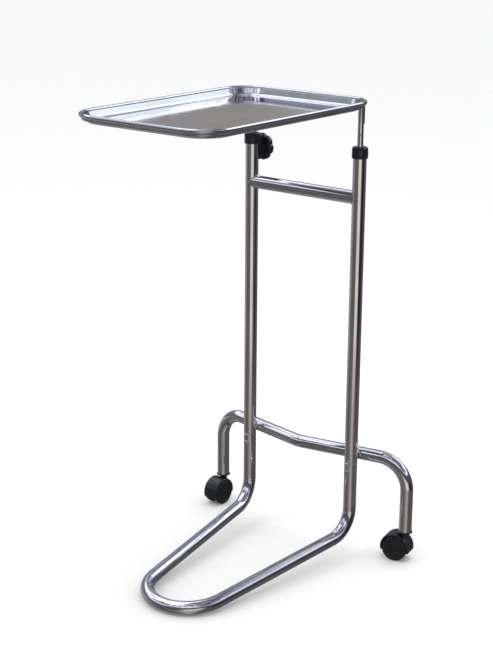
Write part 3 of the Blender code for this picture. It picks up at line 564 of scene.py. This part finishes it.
# The clamp's lug: a half round below the stud, with shoulders that reach up to the collar.
lug_top = COLLAR_Z1 - LUG_DROP - CLAMP_Z
outline = [(-LUG_HALF, lug_top)] + list(arc((0, 0), LUG_HALF, 180, 360, 28)) + [(LUG_HALF, lug_top)]
outline = [(p.x, p.y) for p in bent([(x, y, 0.0) for x, y in outline],
                                    [LUG_CORNER] + [0] * 29 + [LUG_CORNER], 5, closed=True)]
verts, faces = slab(outline, (LUG_Y1 - LUG_Y0) / 2, 0.0011)
piece("clamp_lug", verts, faces, COLLAR_PLASTIC, "stand",
      matrix=at(-POST_X, (LUG_Y0 + LUG_Y1) / 2, CLAMP_Z) @ Matrix.Rotation(math.radians(90), 4, "X"))

# The knob: lobes fade towards the hub, and both faces dish slightly round a centre cap.
half = (KNOB_Y[1] - KNOB_Y[0]) / 2
rim = eased([(0.0062, half - 0.0016), (0.0150, half - 0.0009), (0.0200, half), (KNOB_R, half),
             (KNOB_R, -half), (0.0190, -half), (0.0150, 0.0010 - half), (0.0110, -half),
             (0.0104, -half - 0.0018), (0.0045, -half - 0.0018)],
            [0, 0.006, 0.004, 0.0034, 0.0034, 0.004, 0.004, 0.001, 0.0007, 0], 7)
rim = [(0.0, half - 0.0016)] + rim + [(0.0045, 0.002 - half), (0.0, 0.002 - half)]
verts, faces = lathe(rim, KNOB_SIDES)
for vertex in verts:
    reach = math.hypot(vertex.x, vertex.y)
    share = min(max((reach - KNOB_DISH_R) / (KNOB_R - KNOB_DISH_R), 0.0), 1.0)
    angle = math.atan2(vertex.y, vertex.x) - KNOB_PHASE
    valley = 0.5 - 0.5 * math.cos(KNOB_LOBES * angle)
    wave = 1.0 - 1.6 * valley ** 5
    if reach > ON_AXIS:
        vertex.xy *= 1.0 + KNOB_LOBE * wave * share ** 2 / reach
knob_middle = at(-POST_X, (KNOB_Y[0] + KNOB_Y[1]) / 2, CLAMP_Z) @ TO_Y
piece("knob_grip", verts, faces, KNOB_PLASTIC, "clamp_knob", ["clamp_knob"],
      matrix=knob_middle)
cap = eased([(0.0, half - 0.0004), (KNOB_CAP_R, half - 0.0004), (KNOB_CAP_R, half - 0.0018),
             (0.0, half - 0.0018)], [0, 0.0006, 0.0002, 0], 5)
verts, faces = lathe(cap, 48)
piece("knob_cap", verts, faces, HOOD_PLASTIC, "clamp_knob", matrix=knob_middle)

# ------------------------------------------------------------------ telescoping rods
shaft = eased([(0.0, ROD_Z1), (ROD_R, ROD_Z1), (ROD_R, ROD_Z0), (0.0, ROD_Z0)],
              [0, 0.0015, 0.0009, 0], 6)
pin = eased([(0.0, ROD_R + 0.0004), (0.0018, ROD_R + 0.0002), (0.0018, -ROD_R - 0.0002),
             (0.0, -ROD_R - 0.0004)], [0, 0.0005, 0.0005, 0], 5)
for side, sign in SIDES.items():
    verts, faces = lathe(shaft, 48)
    piece("telescope_rod_" + side, verts, faces, CHROME_ROD, "carriage",
          ["inner_rod_" + side], matrix=at(sign * POST_X, 0, 0))
    verts, faces = lathe(pin, 28)
    piece("cross_pin_" + side, verts, faces, STEEL, "carriage",
          ["rod_pin_" + side],
          matrix=at(sign * POST_X, 0, PIN_Z) @ Matrix.Rotation(PIN_TURN, 4, "Z") @ TO_Y)


# ------------------------------------------------------------------ tray frame and tray
def rectangle(inset, height):
    """Rounded rectangle set in from the rim's outer edge."""
    x, front, rear = TRAY_X - inset, TRAY_FRONT_Y + inset, TRAY_REAR_Y - inset
    return bent([(-x, front, height), (x, front, height), (x, rear, height), (-x, rear, height)],
                [TRAY_CORNER - inset] * 4, 26, closed=True)


verts, faces = rod(rectangle(FRAME_INSET, FRAME_Z), FRAME_R, 24, closed=True)
piece("frame_loop", verts, faces, CHROME_LOOP, "carriage", ["tray_frame"])
for side, sign in SIDES.items():
    foot_z, top_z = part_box("frame_brace_" + side)[0].z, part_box("frame_brace_" + side)[1].z
    verts, faces = rod(straight((0, 0, foot_z), (0, 0, top_z), 3), FRAME_R, 28, round_end=0.0008)
    piece("brace_rod_" + side, verts, faces, CHROME_ROD, "carriage",
          ["frame_brace_" + side], matrix=at(sign * POST_X, BRACE_Y, 0))
    for level, height in (("low", foot_z + 0.004), ("high", top_z - 0.005)):
        for tag, hand in (("a", -1.0), ("b", 1.0)):
            x, y = hand * 0.0016, ROD_R + GAP
            bead = straight((x, y, -BRACE_WELD_HALF), (x, y, BRACE_WELD_HALF), 8)
            verts, faces = rod(bead, BRACE_WELD_R, 12, round_end=0.0007)
            piece("brace_weld_%s_%s_%s" % (side, level, tag), verts, faces,
                  WELD, "carriage", matrix=at(sign * POST_X, 0, height))

# The tray's section, from its slightly sagging floor up the wall and round the rolled rim,
# as (inset from the rim's outer edge, height).
bead_middle = (BEAD_R + TRAY_SHEET / 2, TRAY_TOP - BEAD_R - TRAY_SHEET / 2)
section = eased([(FLOOR_INSET + 2 * FLOOR_BEND, TRAY_FLOOR), (FLOOR_INSET, TRAY_FLOOR),
                 (bead_middle[0] + BEAD_R, bead_middle[1])], [0, FLOOR_BEND, 0], 12)
wall_foot, wall_head = Vector(section[-2]), Vector(section[-1])
section[-1:-1] = [tuple(wall_foot.lerp(wall_head, share)) for share in (0.1, 0.5, 0.9)]
section += list(arc(bead_middle, BEAD_R, 0.0, 285.0, 24))[1:]
wider = [(FLOOR_INSET + extra, TRAY_FLOOR - sag) for extra, sag in
         ((0.046, 0.00045), (0.038, 0.00035), (0.030, 0.00022), (0.023, 0.00010))]
section = wider + section


def thick_section(points, thickness):
    """Both faces of the sheet, as one closed outline."""
    near, far = [], []
    for k, (x, z) in enumerate(points):
        ahead, behind = points[min(k + 1, len(points) - 1)], points[max(k - 1, 0)]
        dx, dz = ahead[0] - behind[0], ahead[1] - behind[1]
        length = math.hypot(dx, dz)
        nx, nz = -dz / length * thickness / 2, dx / length * thickness / 2
        near.append((x - nx, z - nz))
        far.append((x + nx, z + nz))
    return near, far


near, far = thick_section(section, TRAY_SHEET)
verts, faces, loops = [], [], []
for points in (near, far):
    rings = []
    for inset, height in points:
        ring = []
        for vertex in rectangle(inset, height):
            ring.append(len(verts))
            verts.append(vertex)
        rings.append(ring)
    for low, high in zip(rings, rings[1:]):
        faces += ring_faces(low, high)
    loops.append(rings)
faces += ring_faces(loops[0][-1], loops[1][-1])
faces += [tuple(loops[0][0]), tuple(loops[1][0])]
piece("tray_pan", verts, faces, STAINLESS, "tray", ["tray"], sharp=50.0)


# ------------------------------------------------------------------ casters
def fender():
    """Hood over both wheels: a shouldered section swept round the axle."""
    w, inside = HOOD_HALF_WIDTH, HOOD_R - HOOD_SHEET
    outer = eased([(-w, HOOD_R - 0.0030), (-w, HOOD_R), (w, HOOD_R), (w, HOOD_R - 0.0030)],
                  [0, 0.00288, 0.00288, 0], 8)
    inner = eased([(w - 0.0006, HOOD_R - HOOD_EDGE), (w - 0.0012, inside),
                   (0.0012 - w, inside), (0.0006 - w, HOOD_R - HOOD_EDGE)],
                  [0, 0.0012, 0.0012, 0], 5)
    section = outer + inner
    verts, rings, faces = [], [], []
    steps = 56
    for step in range(steps + 1):
        angle = math.radians(HOOD_START + HOOD_SWEEP * step / steps)
        late = max((step / steps - 1.0 + HOOD_LIP_SHARE) / HOOD_LIP_SHARE, 0.0)
        lip = late ** 2 * HOOD_LIP
        ring = []
        for index, (x, radius) in enumerate(section):
            radius -= lip if index < len(outer) else 0.0
            ring.append(len(verts))
            verts.append(Vector((x, radius * math.cos(angle), radius * math.sin(angle))))
        rings.append(ring)
    for low, high in zip(rings, rings[1:]):
        faces += ring_faces(low, high)
    faces += [tuple(rings[0]), tuple(rings[-1])]
    return verts, faces


plug_r, plug_top, flange_top = TUBE_R - TUBE_WALL - GAP, BAR_FOOT_Z + PLUG_LENGTH, BAR_FOOT_Z - GAP
plug = eased([(STEM_R + GAP, plug_top), (plug_r, plug_top), (plug_r, flange_top),
              (FLANGE_R, flange_top), (FLANGE_R, flange_top - FLANGE_THICKNESS),
              (NECK_R + 0.0022, NECK_TOP + 0.0014), (NECK_R, NECK_TOP + GAP),
              (STEM_R + GAP, NECK_TOP + GAP)],
             [0.0003, 0.001, 0.0002, 0.0007, 0.0007, 0.002, 0.0004, 0.0002], 6, closed=True)
neck = eased([(STEM_R + GAP, NECK_TOP), (NECK_R, NECK_TOP), (NECK_R, NECK_WAIST),
              (NECK_FOOT_R, NECK_SHOULDER), (NECK_FOOT_R, NECK_FOOT), (STEM_R + GAP, NECK_FOOT)],
             [0.0002, 0.0008, 0.0045, 0.002, 0.0004, 0.0002], 7, closed=True)
# Web between the wheels, from the stem socket to the axle, drawn with its thickness along Z
# and laid across the axle by WEB_LAY.
web = list(arc((0, 0), HOOD_R - 0.0012, 58, 172, 24))
web += list(arc((0, 0), WEB_HUB_R, 200, 330, 14))
web += [(TRAIL + NECK_R, 0.0120), (TRAIL + NECK_R, 0.0212)]
WEB_LAY = Matrix(((0, 0, 1, 0), (1, 0, 0, 0), (0, 1, 0, 0), (0, 0, 0, 1)))
# Wheel: hub cap and dished outer face, eased tread, dished inner face, blind bore for the axle.
wheel = eased([(0.0, WHEEL_OUTER + 0.0002), (0.0058, WHEEL_OUTER), (0.0066, WHEEL_OUTER - 0.0016),
               (WHEEL_DISH_R, WHEEL_OUTER - 0.0022), (0.0192, WHEEL_OUTER - 0.0006),
               (0.0212, WHEEL_OUTER), (WHEEL_R - 0.0012, WHEEL_OUTER - 0.0006),
               (WHEEL_R, WHEEL_OUTER - 0.0034), (WHEEL_R, WHEEL_INNER + 0.0018),
               (WHEEL_R - 0.0016, WHEEL_INNER), (0.0190, WHEEL_INNER),
               (WHEEL_DISH_R, WHEEL_INNER + 0.0014), (0.0070, WHEEL_INNER + 0.0014),
               (0.0060, WHEEL_INNER), (WHEEL_BORE_R, WHEEL_INNER),
               (WHEEL_BORE_R, WHEEL_OUTER - 0.0029), (0.0, WHEEL_OUTER - 0.0029)],
              [0, 0.0010, 0.0005, 0.0007, 0.0007, 0.0012, 0.0016, 0.0022, 0.0012, 0.0008,
               0.0004, 0.0004, 0.0004, 0.0004, 0.0002, 0.0002, 0], 5)
for side, (caster_x, turn) in CASTERS.items():
    body = "caster_" + side
    stem_place = at(caster_x, BAR_END_Y, 0)
    verts, faces = lathe(plug, 56, closed=True)
    piece("leg_plug_" + side, verts, faces, COLLAR_PLASTIC, "stand",
          ["caster_plug_" + side], matrix=stem_place)

    pivot = stem_place @ Matrix.Rotation(turn, 4, "Z")
    axle = pivot @ at(0, -TRAIL, WHEEL_R)
    verts, faces = fender()
    piece("hood_shell_" + side, verts, faces, HOOD_PLASTIC, body,
          ["caster_hood_" + side], matrix=axle)
    verts, faces = lathe(neck, 48, closed=True)
    reach = WHEEL_R + 0.0005
    for vertex in verts:                                 # its foot is hollowed over the wheels
        clear = WHEEL_R + math.sqrt(reach ** 2 - min(vertex.y + TRAIL, reach) ** 2)
        vertex.z = max(vertex.z, clear + 0.3 * (vertex.z - NECK_FOOT))
    piece("hood_neck_" + side, verts, faces, HOOD_PLASTIC, body, matrix=pivot)
    verts, faces = slab(web, WHEEL_INNER - 0.0006, 0.0008)
    piece("hood_web_" + side, verts, faces, HOOD_PLASTIC, body,
          matrix=axle @ WEB_LAY)

    verts, faces = lathe(wheel, 72)
    for face, hand in (("outer", 1.0), ("inner", -1.0)):
        spin = Matrix.Rotation(math.radians(90.0 * hand), 4, "Y")
        piece("wheel_disc_%s_%s" % (side, face), [v.copy() for v in verts], faces, WHEEL_PLASTIC,
              "wheel_%s_%s" % (side, face),
              ["caster_wheel_%s_%s" % (side, face)], matrix=axle @ spin)

# ------------------------------------------------------------------ carried-over CAD nodes
CARRIED = {"clamp_insert": BRASS, "clamp_stud": STEEL}
for side in SIDES:
    CARRIED.update({"coupling_sleeve_" + side: STEEL, "rod_guide_" + side: NYLON,
                    "caster_stem_" + side: STEEL, "caster_axle_" + side: STEEL})
for node, mat in CARRIED.items():
    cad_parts[node].material_slots[0].material = mat

# ------------------------------------------------------------------ floor, light and camera
FLOOR_HALF = 30
floor_mesh = bpy.data.meshes.new("studio_floor")
floor_mesh.from_pydata([(x * FLOOR_HALF, y * FLOOR_HALF, 0) for x, y in
                        ((-1, -1), (1, -1), (1, 1), (-1, 1))], [], [(0, 1, 2, 3)])
floor = bpy.data.objects.new("studio_floor", floor_mesh)
bpy.context.scene.collection.objects.link(floor)
pale = Nodes("pale_floor")
speck = pale.noise(90.0)
floor_mesh.materials.append(pale.finish(
    pale.ramp(speck, [(0.3, (0.90, 0.90, 0.905)), (0.7, (0.93, 0.93, 0.93))]),
    pale.ramp(speck, [(0.3, 0.72), (0.7, 0.85)]), pale.bump(speck, 0.02, 0.0004), 0.0))
floor.visible_glossy = False

world = bpy.data.worlds.new("studio")
bpy.context.scene.world = world
world.use_nodes = True
tree = world.node_tree
tree.nodes.clear()


def world_node(kind, **values):
    """A node of the world's tree, with its settings."""
    node = tree.nodes.new(kind)
    for key, value in values.items():
        setattr(node, key, value)
    return node


def world_math(operation, a, b):
    node = world_node("ShaderNodeMath", operation=operation)
    for value, socket in zip((a, b), node.inputs):
        if isinstance(value, (int, float)):
            socket.default_value = value
        else:
            tree.links.new(value, socket)
    return node.outputs[0]


def world_ramp(source, stops):
    node = world_node("ShaderNodeValToRGB")
    fill_ramp(node.color_ramp, stops)
    tree.links.new(source, node.inputs["Fac"])
    return node.outputs["Color"]


def world_mix(factor, a, b):
    node = world_node("ShaderNodeMix", data_type="RGBA")
    for value, index in zip((factor, a, b), MIX_INPUTS):
        if isinstance(value, tuple):
            node.inputs[index].default_value = (*value, 1.0)
        else:
            tree.links.new(value, node.inputs[index])
    return node.outputs[MIX_OUTPUT]


def world_noise(scale):
    node = world_node("ShaderNodeTexNoise")
    node.inputs["Scale"].default_value = scale
    node.inputs["Detail"].default_value = 1.0
    tree.links.new(direction, node.inputs["Vector"])
    return node.outputs["Fac"]


# What the chrome mirrors: a room with a dark horizon line, a grey floor with one bright
# strip, bright sides and pale ceiling panels. Directions are fixed in the room. The radial
# gradient runs from 0 to 1 anticlockwise, with 0.5 towards the stand's right front.
direction = world_node("ShaderNodeTexCoord").outputs["Generated"]
turn = world_node("ShaderNodeMapping", vector_type="POINT")
turn.inputs["Rotation"].default_value = (0.0, 0.0, math.radians(51.6))
tree.links.new(direction, turn.inputs["Vector"])
radial = world_node("ShaderNodeTexGradient", gradient_type="RADIAL")
tree.links.new(turn.outputs["Vector"], radial.inputs["Vector"])
around = radial.outputs["Fac"]
split = world_node("ShaderNodeSeparateXYZ")
tree.links.new(direction, split.inputs["Vector"])
height = split.outputs["Z"]


def bearing(degrees):
    """Ramp position of a bearing, from the stand's right front, anticlockwise."""
    return (degrees + 180.0) / 360.0


def smooth_step(source, low, high):
    """Rises from 0 at low to 1 at high."""
    node = world_node("ShaderNodeMapRange", interpolation_type="SMOOTHSTEP")
    node.inputs["From Min"].default_value = low
    node.inputs["From Max"].default_value = high
    tree.links.new(source, node.inputs["Value"])
    return node.outputs["Result"]


# The bands lie one over another, from the floor up, each a run of colours round the room.
floor_band = world_ramp(around, [
    (bearing(-180), (0.20, 0.19, 0.20)), (bearing(-131), (0.34, 0.33, 0.34)),
    (bearing(-94), (0.13, 0.125, 0.13)), (bearing(-66), (0.10, 0.095, 0.09)),
    (bearing(-30), (0.20, 0.19, 0.175)), (bearing(-8), (0.42, 0.40, 0.38)),
    (bearing(12), (0.36, 0.34, 0.32)), (bearing(32), (0.115, 0.10, 0.095)),
    (bearing(60), (0.10, 0.088, 0.084)), (bearing(130), (0.115, 0.105, 0.11)),
    (bearing(178), (0.18, 0.17, 0.18))])
low_band = world_ramp(around, [
    (bearing(-180), (0.36, 0.35, 0.38)), (bearing(-131), (0.46, 0.45, 0.48)),
    (bearing(-94), (0.18, 0.175, 0.19)), (bearing(-66), (0.115, 0.11, 0.11)),
    (bearing(-25), (0.125, 0.12, 0.11)), (bearing(-8), (0.76, 0.73, 0.68)),
    (bearing(19), (0.80, 0.77, 0.73)), (bearing(37), (0.075, 0.07, 0.067)),
    (bearing(50), (0.022, 0.018, 0.022)), (bearing(72), (0.022, 0.018, 0.022)),
    (bearing(96), (0.085, 0.083, 0.105)), (bearing(150), (0.12, 0.118, 0.14)),
    (bearing(178), (0.24, 0.23, 0.26))])
horizon_band = world_ramp(around, [
    (bearing(-180), (0.32, 0.290, 0.275)), (bearing(-177.5), (0.31, 0.295, 0.30)),
    (bearing(-174), (0.29, 0.325, 0.375)), (bearing(-150), (0.24, 0.25, 0.29)),
    (bearing(-105), (0.17, 0.165, 0.20)), (bearing(-72), (0.12, 0.11, 0.18)),
    (bearing(-20), (0.10, 0.095, 0.11)), (bearing(40), (0.075, 0.07, 0.12)),
    (bearing(115), (0.085, 0.08, 0.15)), (bearing(150), (0.16, 0.17, 0.22)),
    (bearing(171), (0.30, 0.34, 0.42)), (bearing(176), (0.38, 0.43, 0.50)),
    (bearing(179), (0.32, 0.290, 0.275))])
mid_band = world_ramp(around, [
    (bearing(-180), (0.30, 0.30, 0.33)), (bearing(-150), (0.22, 0.22, 0.26)),
    (bearing(-115), (0.24, 0.26, 0.26)), (bearing(-104), (1.02, 1.03, 1.12)),
    (bearing(-66), (1.02, 1.03, 1.12)), (bearing(-52), (0.14, 0.13, 0.20)),
    (bearing(-20), (0.10, 0.095, 0.12)), (bearing(20), (0.30, 0.30, 0.34)),
    (bearing(60), (0.85, 0.92, 0.98)), (bearing(92), (1.12, 1.22, 1.27)),
    (bearing(125), (1.12, 1.22, 1.27)), (bearing(150), (0.34, 0.36, 0.43)),
    (bearing(172), (0.30, 0.31, 0.36))])
upper_band = world_ramp(around, [
    (bearing(-180), (0.18, 0.18, 0.26)), (bearing(-172), (0.30, 0.30, 0.40)),
    (bearing(-160), (1.30, 1.32, 1.42)), (bearing(-118), (1.30, 1.32, 1.42)),
    (bearing(-96), (0.36, 0.40, 0.42)), (bearing(-68), (0.36, 0.40, 0.42)),
    (bearing(-52), (0.80, 0.84, 0.90)), (bearing(8), (0.92, 0.95, 0.99)),
    (bearing(26), (0.13, 0.14, 0.19)), (bearing(46), (0.13, 0.14, 0.19)),
    (bearing(62), (0.36, 0.36, 0.42)), (bearing(86), (0.42, 0.42, 0.48)),
    (bearing(97), (1.60, 1.66, 1.76)), (bearing(150), (1.25, 1.30, 1.36)),
    (bearing(164), (0.55, 0.58, 0.66)), (bearing(177), (0.18, 0.18, 0.26))])
crown_band = world_ramp(around, [
    (bearing(-180), (0.24, 0.25, 0.29)), (bearing(-168), (0.90, 0.94, 1.04)),
    (bearing(-108), (0.85, 0.90, 1.00)), (bearing(-84), (0.08, 0.075, 0.13)),
    (bearing(-50), (0.08, 0.075, 0.13)), (bearing(-30), (0.40, 0.41, 0.46)),
    (bearing(10), (0.40, 0.41, 0.46)), (bearing(30), (0.12, 0.12, 0.17)),
    (bearing(100), (0.15, 0.155, 0.21)), (bearing(116), (1.20, 1.26, 1.38)),
    (bearing(134), (1.00, 1.06, 1.18)), (bearing(148), (0.30, 0.32, 0.39)),
    (bearing(163), (0.17, 0.175, 0.21)), (bearing(173), (0.17, 0.175, 0.21))])
top_band = world_ramp(around, [
    (bearing(-180), (1.20, 1.22, 1.30)), (bearing(-50), (1.10, 1.10, 1.25)),
    (bearing(-30), (0.34, 0.34, 0.40)), (bearing(70), (0.12, 0.12, 0.14)),
    (bearing(160), (0.24, 0.25, 0.28)), (bearing(178), (1.00, 1.00, 1.08))])
ZENITH, HORIZON_LINE, WHITE = (0.40, 0.40, 0.46), (0.055, 0.05, 0.11), (1.07, 1.07, 1.07)

# The ceiling's bands have uneven edges, and its light is broken up into lamps.
waver = world_math("MULTIPLY", world_math("SUBTRACT", world_noise(4.5), 0.5), 0.14)
uneven = world_math("ADD", height, waver)
lamp_light = world_ramp(world_noise(9.0), [
    (0.38, (0.34, 0.33, 0.50)), (0.46, (1.0, 1.0, 1.0)), (0.54, (1.1, 1.1, 1.1)),
    (0.62, (2.3, 2.35, 2.4))])

room = world_mix(smooth_step(height, -0.36, -0.28), floor_band, low_band)
room = world_mix(smooth_step(height, 0.04, 0.09), room, horizon_band)
room = world_mix(smooth_step(height, 0.29, 0.36), room, mid_band)
room = world_mix(smooth_step(height, 0.45, 0.49), room, upper_band)
room = world_mix(smooth_step(uneven, 0.64, 0.69), room, crown_band)
room = world_mix(smooth_step(uneven, 0.80, 0.86), room, top_band)
room = world_mix(smooth_step(height, 0.955, 0.985), room, ZENITH)
broken = world_node("ShaderNodeMix", data_type="RGBA", blend_type="MULTIPLY")
for link_from, index in zip((smooth_step(height, 0.50, 0.60), room, lamp_light), MIX_INPUTS):
    tree.links.new(link_from, broken.inputs[index])
room = broken.outputs[MIX_OUTPUT]
line = world_math("MULTIPLY", smooth_step(height, -0.06, 0.0),
                  world_math("SUBTRACT", 1.0, smooth_step(height, 0.06, 0.11)))
room = world_mix(world_math("MULTIPLY", line, 0.75), room, HORIZON_LINE)

# Only reflections see the room; the backdrop and the light it gives are plain white.
path_info = world_node("ShaderNodeLightPath")
colour = world_mix(path_info.outputs["Is Glossy Ray"], WHITE, room)
background = world_node("ShaderNodeBackground")
tree.links.new(colour, background.inputs["Color"])
tree.links.new(background.outputs["Background"], world_node("ShaderNodeOutputWorld").inputs["Surface"])


def softbox(name, location, target, size, power):
    """Soft rectangular light that reflections don't show."""
    light = bpy.data.lights.new(name, "AREA")
    light.shape = "RECTANGLE"
    light.size, light.size_y = size
    light.energy = power
    obj = bpy.data.objects.new(name, light)
    bpy.context.scene.collection.objects.link(obj)
    obj.location = location
    obj.rotation_euler = (Vector(target) - Vector(location)).to_track_quat("-Z", "Y").to_euler()
    obj.visible_glossy = False


softbox("key_softbox", (-1.6, -1.9, 2.7), (0, 0.1, 0.4), (1.6, 1.6), 16.0)
softbox("top_softbox", (0.3, 0.6, 3.0), (0, 0.0, 0.4), (1.4, 1.4), 16.0)

AZIMUTH, ELEVATION, ROLL = (math.radians(v) for v in (38.38, 17.30, 0.38))
LENS, SENSOR, SHIFT_Y, FAR_LIMIT = 52.43, 24.0, 0.0062, 100.0
CAMERA_PLACE = Vector((1.59163, -2.18243, 1.27120))
back = Vector((math.sin(AZIMUTH) * math.cos(ELEVATION), -math.cos(AZIMUTH) * math.cos(ELEVATION),
               math.sin(ELEVATION)))
right = Vector((math.cos(AZIMUTH), math.sin(AZIMUTH), 0.0))
up = right.cross(-back)
right, up = (right * math.cos(ROLL) + up * math.sin(ROLL),
             -right * math.sin(ROLL) + up * math.cos(ROLL))
camera = bpy.data.objects.new("camera", bpy.data.cameras.new("camera"))
bpy.context.scene.collection.objects.link(camera)
turned = Matrix((right, up, back)).transposed().to_4x4()
camera.matrix_world = Matrix.Translation(CAMERA_PLACE + ORIGIN) @ turned
camera.data.sensor_fit = "VERTICAL"
camera.data.sensor_height = SENSOR
camera.data.lens = LENS
camera.data.shift_y = SHIFT_Y
camera.data.clip_end = FAR_LIMIT
bpy.context.scene.camera = camera
bpy.context.scene.view_settings.view_transform = "Standard"
